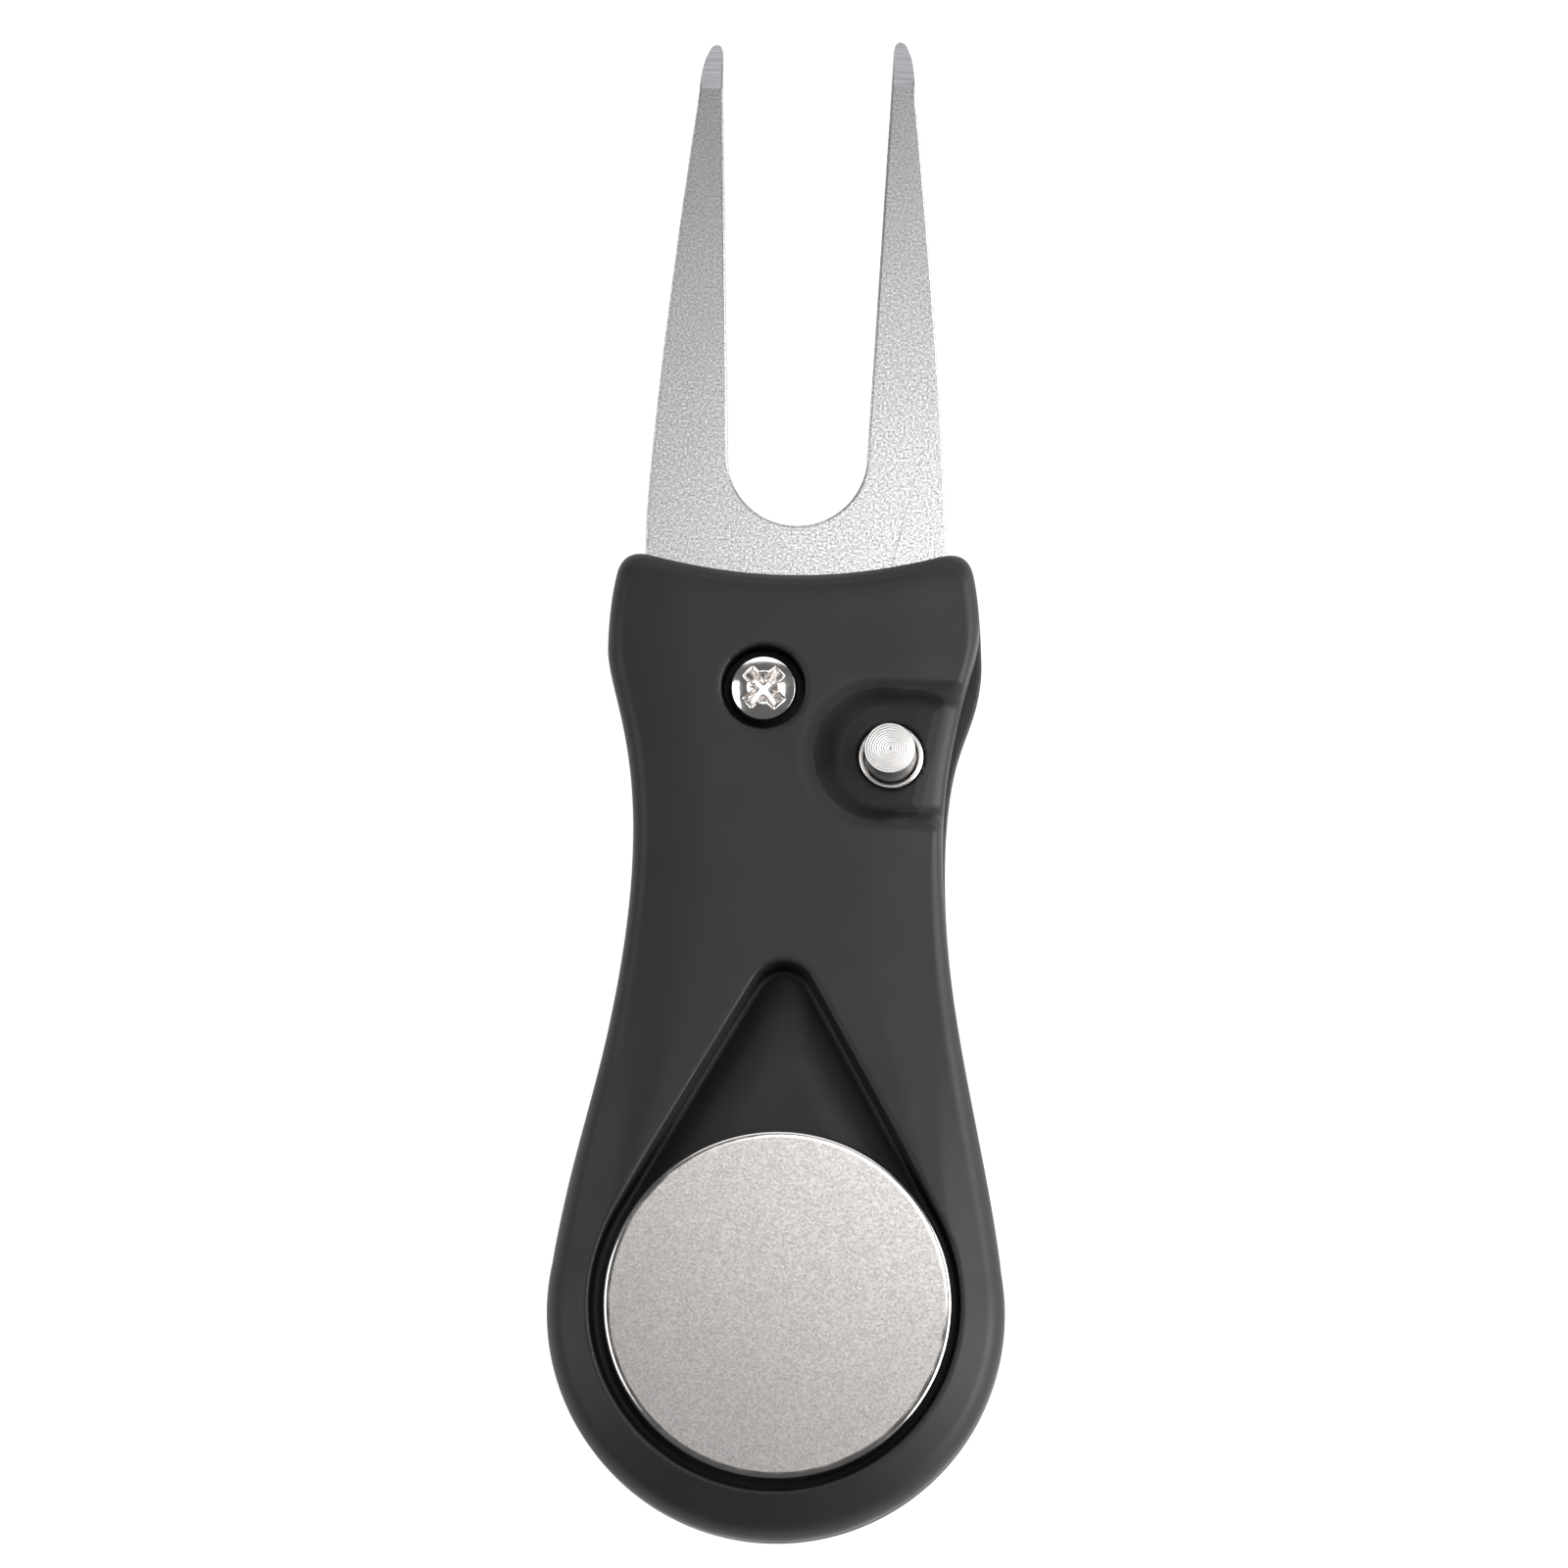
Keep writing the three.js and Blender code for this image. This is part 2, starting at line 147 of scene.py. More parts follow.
# The thumb pocket round the button, and where it runs out into the right side.
POCKET_FLOOR = 9.35
POCKET_R = 4.0
POCKET_SLOPE = 0.5
POCKET_SHIFT = 0.55
POCKET_DEPTH = 1.65
POCKET_FILLET = 0.25
RUN_OUT = {"start": 2.9, "lean": 0.21, "fall": 0.42}
SHOULDER_FALL = {"slope": 0.45, "scale": 0.91, "lift": 2.6, "lift_from": 3.2, "lift_to": 6.6}
SHOULDER_CLEAR = {"from": 5.0, "rise": 0.5}

# Bores and rooms in the covers. The screw's head and its counterbore sit a little nearer the marker
# than its shank.
HEAD_AT = PIVOT + (0.0, -0.25)
HEAD_SEAT = 8.6
HEAD_BORE_R = 3.0
SHANK_BORE_R = 1.7
NUT_FLATS, NUT_TOP = 5.8, 3.1
TORSION_ROOM_R, TORSION_CORE_R, TORSION_FLOOR = 6.2, 4.0, 1.5
MAGNET_BORE_R, MAGNET_FLOOR = 5.1, 7.25
GUIDE_BORE_R, GUIDE_FLOOR = 2.4, 5.0
FLANGE_ROOM_R, FLANGE_FLOOR, FLANGE_TOP = 3.5, 2.2, 7.0
COIL_BORE_R, COIL_FLOOR = 2.05, 1.0
CASE_SCREW_R, CASE_SCREW_TOP = 2.1, 1.8

# How widely each kind of edge is softened.
SCOOP_SOFT = 0.9
POCKET_SOFT = 0.8
HEAD_BORE_SOFT = 0.35
RECESS_SOFT = 0.3
SEAM_SOFT = 0.25
BORE_SOFT = 0.2

FAR = 99.0

# ---- Distance shapes ----------------------------------------------------------------------------
# Each takes points (N, 3) in millimetres and gives a distance, negative inside.


def soft_max(a, b, k):
    """The larger of two distances, with the corner between them rounded over about k."""
    h = np.maximum(k - np.abs(a - b), 0) / k
    return np.maximum(a, b) + h * h * k / 4


def cut(body, tool, k):
    return soft_max(body, -tool, k)


def bezier(points, count=40):
    a, b, c, d = (np.array(p, float) for p in points)
    t = np.linspace(0, 1, count)[:, None]
    return (1 - t) ** 3 * a + 3 * (1 - t) ** 2 * t * b + 3 * (1 - t) * t * t * c + t**3 * d


def flank():
    """The handle's right side from the round end's lowest point, carried on past the mouth."""
    end = math.asin(BULB_END[1] / BULB_END_R)
    turn = np.linspace(-math.pi / 2, end, 90)[:, None]
    bulb = BULB_R * np.hstack([np.cos(turn), np.sin(turn)])
    grip, shoulder, brow = bezier(GRIP_CURVE), bezier(SHOULDER_CURVE), bezier(BROW_CURVE)
    return np.vstack([bulb, grip[1:], shoulder[1:], brow[1:], PAST_MOUTH]) + at(0, 0)


class FlankDistance:
    """Distance to the handle's sides in plan, kept on a grid and read between its points."""

    step = 0.2
    counts = (221, 391)

    def __init__(self):
        right = flank()
        self.low = np.array([-22.0, BULB_Y - 20.0])
        xs = self.low[0] + self.step * np.arange(self.counts[0])
        ys = self.low[1] + self.step * np.arange(self.counts[1])
        grid = np.stack(np.meshgrid(xs, ys, indexing="ij"), -1).reshape(-1, 2)
        start, run = right[:-1], np.diff(right, axis=0)
        best = np.full(len(grid), 1e9)
        mirrored = np.abs(grid[:, 0])
        for a, r in zip(start, run):
            off = np.stack([mirrored - a[0], grid[:, 1] - a[1]], -1)
            t = np.clip(off @ r / (r @ r), 0, 1)
            best = np.minimum(best, np.hypot(*(off - t[:, None] * r).T))
        half = np.interp(grid[:, 1], right[:, 1], right[:, 0], left=-1)
        self.values = np.where(mirrored < half, -best, best).reshape(self.counts)

    def __call__(self, x, y):
        u = np.clip((x - self.low[0]) / self.step, 0, self.values.shape[0] - 1.001)
        v = np.clip((y - self.low[1]) / self.step, 0, self.values.shape[1] - 1.001)
        i, j = u.astype(int), v.astype(int)
        u, v = u - i, v - j
        f = self.values
        near = f[i, j] * (1 - v) + f[i, j + 1] * v
        far = f[i + 1, j] * (1 - v) + f[i + 1, j + 1] * v
        return near * (1 - u) + far * u


flank_distance = FlankDistance()


def smooth_step(low, high, value):
    t = np.clip((value - low) / (high - low), 0, 1)
    return t * t * (3 - 2 * t)


def outline_distances(p):
    """Plan distances to the handle's sides and to its mouth."""
    along = p[:, 1] - BULB_Y
    off = (along - RIGHT_SHOULDER["along"]) / RIGHT_SHOULDER["width"]
    fuller = RIGHT_SHOULDER["fuller"] * np.exp(-(off**2)) * (p[:, 0] > 0)
    leaner = LEFT_SIDE["leaner"] * smooth_step(LEFT_SIDE["from"], LEFT_SIDE["to"], along)
    side = flank_distance(p[:, 0], p[:, 1]) - fuller + leaner * (p[:, 0] < 0)
    return side, MOUTH_R - np.hypot(p[:, 0] - MOUTH[0], p[:, 1] - MOUTH[1])


def pebble(p, width, height, depth):
    """The handle's outline with its edge rounded over width by height.

    depth is how far each point is past the start of the rounding."""
    side, mouth = outline_distances(p)
    u = np.maximum(1 + soft_max(side, mouth, CORNER_SOFT) / width, 0)
    v = np.maximum(depth / height, 0)
    r = np.hypot(u, v)
    slope = np.hypot(u / width, v / height)
    return (r - 1) * np.where(r > 1e-4, r / np.maximum(slope, 1e-9), height)


def rounded_meet(a, b, r):
    """The larger of two distances, with the corner between them rounded to radius r."""
    inner = np.minimum(np.maximum(a, b) + r, 0)
    return np.hypot(np.maximum(a + r, 0), np.maximum(b + r, 0)) + inner - r


def crowned_block(p):
    """The front half: upright sides, a rounded edge and a face that falls away to the sides."""
    side, mouth = outline_distances(p)
    grip = smooth_step(*BULB_TO_GRIP, p[:, 1] - BULB_Y)
    reach, blend, tilt = (
        BULB_CROWN[key] + (GRIP_CROWN[key] - BULB_CROWN[key]) * grip
        for key in ("reach", "blend", "tilt")
    )
    t = np.maximum(reach + side, 0)
    drop = tilt * np.where(t < blend, t * t / (2 * blend), t - blend / 2)
    t = np.maximum(MOUTH_CROWN["reach"] + mouth, 0)
    drop += MOUTH_CROWN["tilt"] * t * t / (2 * MOUTH_CROWN["reach"])
    top = (p[:, 2] - FRONT_TOP + drop) / np.sqrt(1 + tilt**2)
    return rounded_meet(soft_max(side, mouth, CORNER_SOFT), top, EDGE_R)


def round_distance(p, centre, r):
    """Distance to an endless upright cylinder."""
    return np.hypot(p[:, 0] - centre[0], p[:, 1] - centre[1]) - r


def hollow(p, side, floor=-FAR, top=FAR, fillet=0.0):
    """An upright hollow with the given plan distance, its floor's corner rounded by fillet."""
    end = np.maximum(floor - p[:, 2], p[:, 2] - top)
    if fillet == 0:
        return np.maximum(side, end)
    return rounded_meet(side, end, fillet)


def hole(p, centre, r, floor=-FAR, top=FAR):
    return hollow(p, round_distance(p, centre, r), floor, top)


def teardrop(p, ridge=0.0):
    """Plan distance to the recess: the hull of its round end and its narrow tip.

    ridge is how widely the fold down its middle is smoothed; 0 leaves it sharp."""
    rise = RECESS_TIP[1] - MARKER[1]
    lean = (RECESS_R - RECESS_TIP_R) / rise
    along = math.sqrt(1 - lean * lean)
    x, y = p[:, 0], p[:, 1] - MARKER[1]
    k = -lean * np.abs(x) + along * y
    low = np.hypot(x, y) - RECESS_R
    high = np.hypot(x, y - rise) - RECESS_TIP_R
    right, left = along * x + lean * y - RECESS_R, -along * x + lean * y - RECESS_R
    wall = soft_max(right, left, ridge) if ridge else np.maximum(right, left)
    tip = np.maximum(high, wall) if ridge else high
    return np.where(k < 0, low, np.where(k > along * rise, tip, wall))


def marker_recess(p):
    """The recess, with a floor that stands highest in the middle and sinks towards its walls."""
    deeper = RECESS_SINK + RECESS_TIP_SINK * smooth_step(*RECESS_TIP_FROM, p[:, 1] - MARKER[1])
    near_wall = np.clip(1 + teardrop(p, RECESS_RIDGE) / RECESS_CROWN_REACH, 0, 1)
    floor = RECESS_FLOOR - deeper * near_wall**2
    side = teardrop(p) + RECESS_DRAFT * (floor + RECESS_SINK - p[:, 2])
    return hollow(p, side, floor, FAR, RECESS_FILLET)


def pocket_run_out(p):
    """How far to the right a point is of the line where the pocket's floor starts to fall."""
    return p[:, 0] - BUTTON[0] - RUN_OUT["start"] - RUN_OUT["lean"] * (p[:, 1] - BUTTON[1])


def shoulder_fall(p):
    """A slope that brings the face down to the pocket's floor where the floor runs out."""
    fall = SHOULDER_FALL
    off = np.abs(p[:, 1] - BUTTON[1])
    away = fall["lift"] * smooth_step(fall["lift_from"], fall["lift_to"], off)
    away += SHOULDER_CLEAR["rise"] * np.maximum(off - SHOULDER_CLEAR["from"], 0)
    return (p[:, 2] - POCKET_FLOOR + fall["slope"] * pocket_run_out(p)) * fall["scale"] - away


def thumb_pocket(p):
    """A pocket with a sloped wall round the button, whose floor falls away to the right side."""
    height = p[:, 2] - POCKET_FLOOR
    x = p[:, 0] - BUTTON[0] + POCKET_SHIFT * np.clip(height, 0, POCKET_DEPTH)
    y = p[:, 1] - BUTTON[1]
    reach = np.where(x < 0, np.hypot(x, y), np.abs(y))
    leftward = np.clip(-x / np.maximum(reach, 0.1), 0, 1)
    side = reach - POCKET_R - POCKET_SLOPE * height
    side = side / np.hypot(1, POCKET_SLOPE + POCKET_SHIFT * leftward)
    floor = POCKET_FLOOR - RUN_OUT["fall"] * np.maximum(pocket_run_out(p), 0)
    return hollow(p, side, floor, FAR, POCKET_FILLET)


def fork_slot(p):
    """The slot that the fork swings through: open on the left and at the mouth."""
    wall = np.interp(p[:, 1] - BULB_Y, *zip(*SLOT_WALL))
    side = np.maximum(round_distance(p, PIVOT, SLOT_REACH), p[:, 0] - wall)
    return hollow(p, side, FORK_LOW[2] - SLOT_GAP, FORK_HIGH[2] + SLOT_GAP)


def hexagon(p, centre, flats):
    x, y = p[:, 0] - centre[0], p[:, 1] - centre[1]
    turns = [math.radians(a) for a in (0, 60, 120)]
    return np.max([np.abs(x * math.cos(a) + y * math.sin(a)) for a in turns], 0) - flats / 2


def front_cover_distance(p):
    f = cut(crowned_block(p), round_distance(p, SCOOP, SCOOP_R), SCOOP_SOFT)
    f = soft_max(f, FRONT_BOTTOM - p[:, 2], SEAM_SOFT)
    f = soft_max(f, shoulder_fall(p), POCKET_SOFT)
    f = cut(f, thumb_pocket(p), POCKET_SOFT)
    f = cut(f, marker_recess(p), RECESS_SOFT)
    f = cut(f, hole(p, HEAD_AT, HEAD_BORE_R, HEAD_SEAT), HEAD_BORE_SOFT)
    f = cut(f, hole(p, MARKER, MAGNET_BORE_R, MAGNET_FLOOR), BORE_SOFT)
    f = cut(f, hole(p, BUTTON, GUIDE_BORE_R, GUIDE_FLOOR), BORE_SOFT)
    f = cut(f, hole(p, BUTTON, FLANGE_ROOM_R, top=FLANGE_TOP), BORE_SOFT)
    f = cut(f, hole(p, PIVOT, SHANK_BORE_R), BORE_SOFT)
    return cut(f, fork_slot(p), SEAM_SOFT)


def back_cover_distance(p):
    band = BACK_TOP - BACK_BAND
    f = pebble(p, BACK_ROUND, band, band - p[:, 2])
    f = soft_max(f, p[:, 2] - BACK_TOP, SEAM_SOFT)
    f = cut(f, hollow(p, hexagon(p, PIVOT, NUT_FLATS), top=NUT_TOP), SEAM_SOFT)
    f = cut(f, hole(p, PIVOT, SHANK_BORE_R), BORE_SOFT)
    core = hole(p, PIVOT, TORSION_CORE_R)
    f = cut(f, np.maximum(hole(p, PIVOT, TORSION_ROOM_R, TORSION_FLOOR), -core), BORE_SOFT)
    f = cut(f, hole(p, BUTTON, FLANGE_ROOM_R, FLANGE_FLOOR), BORE_SOFT)
    f = cut(f, hole(p, BUTTON, COIL_BORE_R, COIL_FLOOR), BORE_SOFT)
    for name in ("case_screw_1", "case_screw_2", "case_screw_3"):
        f = cut(f, hole(p, middle(name)[:2], CASE_SCREW_R, top=CASE_SCREW_TOP), SEAM_SOFT)
    return cut(f, fork_slot(p), SEAM_SOFT)


# ---- Meshes -------------------------------------------------------------------------------------


def new_piece(name, vertices, faces):
    """A smooth-shaded object from points in millimetres."""
    mesh = bpy.data.meshes.new(name)
    mesh.from_pydata((np.asarray(vertices) * MM).tolist(), [], faces)
    mesh.validate()
    mesh.shade_smooth()
    piece = bpy.data.objects.new(name, mesh)
    bpy.context.scene.collection.objects.link(piece)
    return piece


EDGES = [
    ((0, 0, 0), (1, 0, 0)), ((0, 1, 0), (1, 1, 0)), ((0, 0, 1), (1, 0, 1)), ((0, 1, 1), (1, 1, 1)),
    ((0, 0, 0), (0, 1, 0)), ((1, 0, 0), (1, 1, 0)), ((0, 0, 1), (0, 1, 1)), ((1, 0, 1), (1, 1, 1)),
    ((0, 0, 0), (0, 0, 1)), ((1, 0, 0), (1, 0, 1)), ((0, 1, 0), (0, 1, 1)), ((1, 1, 0), (1, 1, 1)),
]


def drawn_onto(points, distance, cell, rounds=4):
    """The points moved onto the surface where distance is 0."""
    step = cell * 0.05
    for _ in range(rounds):
        here = distance(points)
        slope = np.stack([
            distance(points + step * axis) - distance(points - step * axis) for axis in np.eye(3)
        ], -1) / (2 * step)
        size = np.maximum((slope**2).sum(1), 0.05)
        move = -slope * (here / size)[:, None]
        length = np.linalg.norm(move, axis=1)
        points = points + move * np.minimum(1, 0.5 * cell / np.maximum(length, 1e-9))[:, None]
    return points


def piece_from_distance(name, distance, low, high, cell):
    """A closed mesh of the surface where distance is 0: one point in each cell that it crosses."""
    low = np.array(low, float) - 1.5 * cell
    counts = np.ceil((np.array(high, float) - low) / cell).astype(int) + 3
    axes = [low[i] + cell * np.arange(counts[i]) for i in range(3)]
    values = np.empty(counts)
    for i, x in enumerate(axes[0]):
        sheet = np.stack(np.meshgrid([x], axes[1], axes[2], indexing="ij"), -1).reshape(-1, 3)
        values[i] = distance(sheet).reshape(counts[1:])
    inside = values < 0
    n = counts - 1
    corners = sum(
        inside[a:a + n[0], b:b + n[1], c:c + n[2]].astype(int)
        for a in (0, 1) for b in (0, 1) for c in (0, 1)
    )
    cells = np.argwhere((corners > 0) & (corners < 8))
    total, hits = np.zeros((len(cells), 3)), np.zeros(len(cells))
    for a, b in EDGES:
        fa, fb = values[tuple((cells + a).T)], values[tuple((cells + b).T)]
        crossed = (fa < 0) != (fb < 0)
        t = np.where(crossed, fa / np.where(crossed, fa - fb, 1), 0)[:, None]
        total += np.where(crossed[:, None], np.array(a) + t * (np.array(b) - np.array(a)), 0)
        hits += crossed
    points = low + cell * (cells + total / hits[:, None])
    number = np.full(n, -1)
    number[tuple(cells.T)] = np.arange(len(cells))
    faces = []
    for axis in range(3):
        second, third = (axis + 1) % 3, (axis + 2) % 3
        ahead = np.roll(inside, -1, axis)
        change = inside != ahead
        trim = [slice(1, -1)] * 3
        trim[axis] = slice(0, -1)
        spots = np.argwhere(change[tuple(trim)])
        spots[:, second] += 1
        spots[:, third] += 1
        back2, back3 = np.eye(3, dtype=int)[second], np.eye(3, dtype=int)[third]
        ring = [spots - back2 - back3, spots - back3, spots, spots - back2]
        quads = np.stack([number[tuple(r.T)] for r in ring], -1)
        leaving = inside[tuple(spots.T)]
        quads[~leaving] = quads[~leaving][:, ::-1]
        faces.append(quads)
    points = drawn_onto(points, distance, cell)
    return new_piece(name, points, np.vstack(faces).tolist())


def lathe(name, centre, profile, sides=128):
    """A solid of revolution about an upright axis; profile runs (radius, z) from axis to axis."""
    rings = profile[1:-1]
    turns = np.arange(sides) * 2 * math.pi / sides
    points = [[centre[0], centre[1], profile[0][1]]]
    for r, z in rings:
        points += [[centre[0] + r * math.cos(t), centre[1] + r * math.sin(t), z] for t in turns]
    points.append([centre[0], centre[1], profile[-1][1]])
    last = len(points) - 1
    faces = []
    for i in range(sides):
        j = (i + 1) % sides
        faces.append([0, 1 + j, 1 + i])
        for k in range(len(rings) - 1):
            a, b = 1 + k * sides, 1 + (k + 1) * sides
            faces.append([a + i, a + j, b + j, b + i])
        a = 1 + (len(rings) - 1) * sides
        faces.append([a + i, a + j, last])
    return new_piece(name, points, faces)


def arc(cx, cz, r, start, end, count=7):
    """Profile points round a corner, angles in degrees from +radius towards +z."""
    turns = np.radians(np.linspace(start, end, count))
    return [(cx + r * math.cos(t), cz + r * math.sin(t)) for t in turns]


def sharp_shading(piece, angle=30):
    """Splits the shading at edges sharper than angle."""
    mesh = piece.data
    mesh.shade_smooth()
    split = piece.modifiers.new("sharp edges", "EDGE_SPLIT")
    split.split_angle = math.radians(angle)


# ---- Materials ----------------------------------------------------------------------------------


class Finish:
    """A node material on a Principled shader, with short ways to add texture to it."""

    def __init__(self, name, colour, roughness, metallic=0.0):
        self.material = bpy.data.materials.new(name)
        self.material.use_nodes = True
        self.tree = self.material.node_tree
        self.shader = self.tree.nodes["Principled BSDF"]
        self.set("Base Color", (*colour, 1))
        self.set("Roughness", roughness)
        self.set("Metallic", metallic)
        self.place = self.node("ShaderNodeTexCoord").outputs["Object"]
        self.normal = None

    def node(self, kind, **settings):
        made = self.tree.nodes.new(kind)
        for key, value in settings.items():
            setattr(made, key, value)
        return made

    def set(self, socket, value):
        self.shader.inputs[socket].default_value = value

    def link(self, start, end):
        self.tree.links.new(start, end)

    def feed(self, socket, value):
        """Links socket to another node's output, or sets it to a constant."""
        if isinstance(value, bpy.types.NodeSocket):
            self.link(value, socket)
        else:
            socket.default_value = value

    def noise(self, size, detail=2.0, stretch=(1, 1, 1)):
        """Noise with features of about size metres."""
        mapping = self.node("ShaderNodeMapping")
        mapping.inputs["Scale"].default_value = stretch
        texture = self.node("ShaderNodeTexNoise")
        texture.inputs["Scale"].default_value = 1 / size
        texture.inputs["Detail"].default_value = detail
        self.link(self.place, mapping.inputs["Vector"])
        self.link(mapping.outputs["Vector"], texture.inputs["Vector"])
        return texture.outputs["Fac"]

    def ramp(self, value, stops):
        """value run through (position, colour or number) stops."""
        ramp = self.node("ShaderNodeValToRGB")
        elements = ramp.color_ramp.elements
        while len(elements) < len(stops):
            elements.new(0.5)
        for element, (position, colour) in zip(elements, stops):
            element.position = position
            colour = colour if isinstance(colour, tuple) else (colour,) * 3
            element.color = (*colour, 1)
        self.link(value, ramp.inputs["Fac"])
        return ramp.outputs["Color"]

    def drive(self, socket, value, stops):
        """Sets one of the shader's sockets from value run through stops."""
        self.link(self.ramp(value, stops), self.shader.inputs[socket])

    def multiply(self, a, b):
        mix = self.node("ShaderNodeMix", data_type="RGBA", blend_type="MULTIPLY")
        self.feed(mix.inputs["Factor"], 1.0)
        self.feed(mix.inputs["A"], a)
        self.feed(mix.inputs["B"], b)
        return mix.outputs["Result"]

    def bump(self, height, depth, strength):
        """Adds relief of about depth metres under what is there already."""
        bump = self.node("ShaderNodeBump")
        bump.inputs["Distance"].default_value = depth
        bump.inputs["Strength"].default_value = strength
        self.link(height, bump.inputs["Height"])
        if self.normal is not None:
            self.link(self.normal, bump.inputs["Normal"])
        self.normal = bump.outputs["Normal"]
        self.link(self.normal, self.shader.inputs["Normal"])

    def radius(self, centre):
        """Distance in metres from an upright axis through centre, given in millimetres."""
        move = self.node("ShaderNodeMapping")
        move.inputs["Location"].default_value = (-centre[0] * MM, -centre[1] * MM, 0)
        move.inputs["Scale"].default_value = (1, 1, 0)
        length = self.node("ShaderNodeVectorMath", operation="LENGTH")
        self.link(self.place, move.inputs["Vector"])
        self.link(move.outputs["Vector"], length.inputs[0])
        return length.outputs["Value"]

    def maths(self, operation, a, b=0.0):
        node = self.node("ShaderNodeMath", operation=operation)
        self.feed(node.inputs[0], a)
        self.feed(node.inputs[1], b)
        return node.outputs["Value"]


def soft_touch(name, shade=1.0):
    """Black rubber-like paint; shade below 1 gives a darker, less shiny copy of it: painted shade
    for inside the hollows.
    """
    f = Finish(name, (0.022 * shade, 0.022 * shade, 0.024 * shade), roughness=0.58)
    f.set("Specular IOR Level", 0.28 * shade)
    cloud = f.noise(size=0.012, detail=3.0)
    grain = f.noise(size=0.00022)
    dark = tuple(np.array([0.021, 0.021, 0.0228]) * shade)
    light = tuple(np.array([0.024, 0.024, 0.026]) * shade)
    f.drive("Base Color", cloud, [(0.3, dark), (0.7, light)])
    f.drive("Roughness", f.noise(size=0.004, detail=4.0), [(0.3, 0.42), (0.75, 0.5)])
    f.bump(grain, depth=0.00001, strength=0.35)
    return f.material


def fork_steel():
    """Blasted steel: bright with fine dark pits."""
    f = Finish("fork_steel", (0.62, 0.61, 0.615), roughness=0.36, metallic=1.0)
    speck = f.noise(size=0.00016, detail=3.0)
    patch = f.noise(size=0.006, detail=3.0)
    pit, sheet, shine = (0.34, 0.335, 0.34), (0.58, 0.57, 0.575), (0.86, 0.85, 0.85)
    base = f.ramp(speck, [(0.32, pit), (0.52, sheet), (0.7, shine)])
    shade = f.ramp(patch, [(0.35, 0.97), (0.65, 1.0)])
    f.link(f.multiply(base, shade), f.shader.inputs["Base Color"])
    f.drive("Roughness", speck, [(0.3, 0.42), (0.7, 0.27)])
    f.bump(speck, depth=0.00002, strength=0.3)
    return f.material


def marker_nickel():
    """Satin nickel with a fine grain."""
    f = Finish("marker_nickel", (0.58, 0.555, 0.545), roughness=0.38, metallic=1.0)
    grain = f.noise(size=0.00016, detail=3.0)
    f.drive("Base Color", grain, [(0.3, (0.43, 0.413, 0.404)), (0.7, (0.69, 0.665, 0.652))])
    f.drive("Roughness", grain, [(0.3, 0.38), (0.7, 0.32)])
    f.bump(grain, depth=0.00002, strength=0.35)
    return f.material


def polished(name, colour, roughness):
    """Bright metal with faint wear."""
    f = Finish(name, colour, roughness, metallic=1.0)
    wear = f.noise(size=0.0012, detail=4.0)
    f.drive("Roughness", wear, [(0.3, roughness * 0.7), (0.75, roughness * 1.6)])
    f.bump(wear, depth=0.00001, strength=0.2)
    return f.material


def turned_steel():
    """Steel with the rings that a lathe leaves, round the button's axis."""
    f = Finish("button_steel", (0.58, 0.567, 0.558), roughness=0.34, metallic=1.0)
    ring_pitch = 0.00017
    turn = f.maths("MULTIPLY", f.radius(BUTTON), 2 * math.pi / ring_pitch)
    rings = f.maths("SINE", turn)
    worn = f.noise(size=0.0007, detail=3.0)
    f.bump(rings, depth=0.000008, strength=0.5)
    f.bump(worn, depth=0.00001, strength=0.25)
    f.drive("Roughness", worn, [(0.3, 0.29), (0.7, 0.4)])
    return f.material


def ground_steel():
    """Steel with fine lines across it, where the tips are ground."""
    f = Finish("ground_steel", (0.6, 0.6, 0.62), roughness=0.34, metallic=1.0)
    lines = f.noise(size=0.0001, stretch=(0.03, 1, 1))
    f.drive("Base Color", lines, [(0.3, (0.25, 0.25, 0.265)), (0.7, (0.43, 0.43, 0.45))])
    f.bump(lines, depth=0.00001, strength=0.5)
    return f.material


def plain_metal(name, colour, roughness):
    """Slightly mottled metal."""
    f = Finish(name, colour, roughness, metallic=1.0)
    mottle = f.noise(size=0.0006, detail=3.0)
    dark = tuple(0.8 * c for c in colour)
    f.drive("Base Color", mottle, [(0.3, dark), (0.7, colour)])
    f.bump(mottle, depth=0.00001, strength=0.25)
    return f.material


# ---- Pieces -------------------------------------------------------------------------------------

COVER_CELL = 0.2


def make_cover(name, node, distance, low, high, materials, choose):
    """choose gives the number of the material at each face's middle."""
    piece = piece_from_distance(name, distance, low, high, COVER_CELL)
    for material in materials:
        piece.data.materials.append(material)
    centres = np.empty(3 * len(piece.data.polygons), np.float32)
    piece.data.polygons.foreach_get("center", centres)
    piece.data.polygons.foreach_set("material_index", choose(centres.reshape(-1, 3) / MM))
    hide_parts(node)
    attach(piece, "handle")


def front_paint_and_painted_shade(p):
    """0 outside; painted shade in the marker's recess (1), the thumb pocket (2) and the bores (3).
    """
    near = 0.1
    # The painted shade in the pocket stops where its floor falls away to the right side.
    pocket = (thumb_pocket(p) < near) & (pocket_run_out(p) < 0)
    bores = np.minimum(hole(p, HEAD_AT, HEAD_BORE_R), hole(p, BUTTON, GUIDE_BORE_R)) < near
    return np.select([bores, pocket, marker_recess(p) < near], [3, 2, 1]).astype(np.int32)


def back_coat(p):
    """0, the outside's coat, all over."""
    return np.zeros(len(p), np.int32)


def make_covers():
    paint_and_painted_shades = [
        soft_touch("soft_touch"),
        # The next three are darker copies of the paint: painted shade for the recess, the pocket
        # and the bores.
        soft_touch("soft_touch_recess_painted_shade", shade=0.85),
        soft_touch("soft_touch_pocket_painted_shade", shade=0.68),
        soft_touch("soft_touch_bore_painted_shade", shade=0.35),
    ]
    make_cover(
        "front_shell", "front_cover", front_cover_distance, FRONT_LOW, FRONT_HIGH, paint_and_painted_shades, front_paint_and_painted_shade
    )
    make_cover(
        "back_shell", "back_cover", back_cover_distance, BACK_LOW, BACK_HIGH, paint_and_painted_shades[:1], back_coat
    )


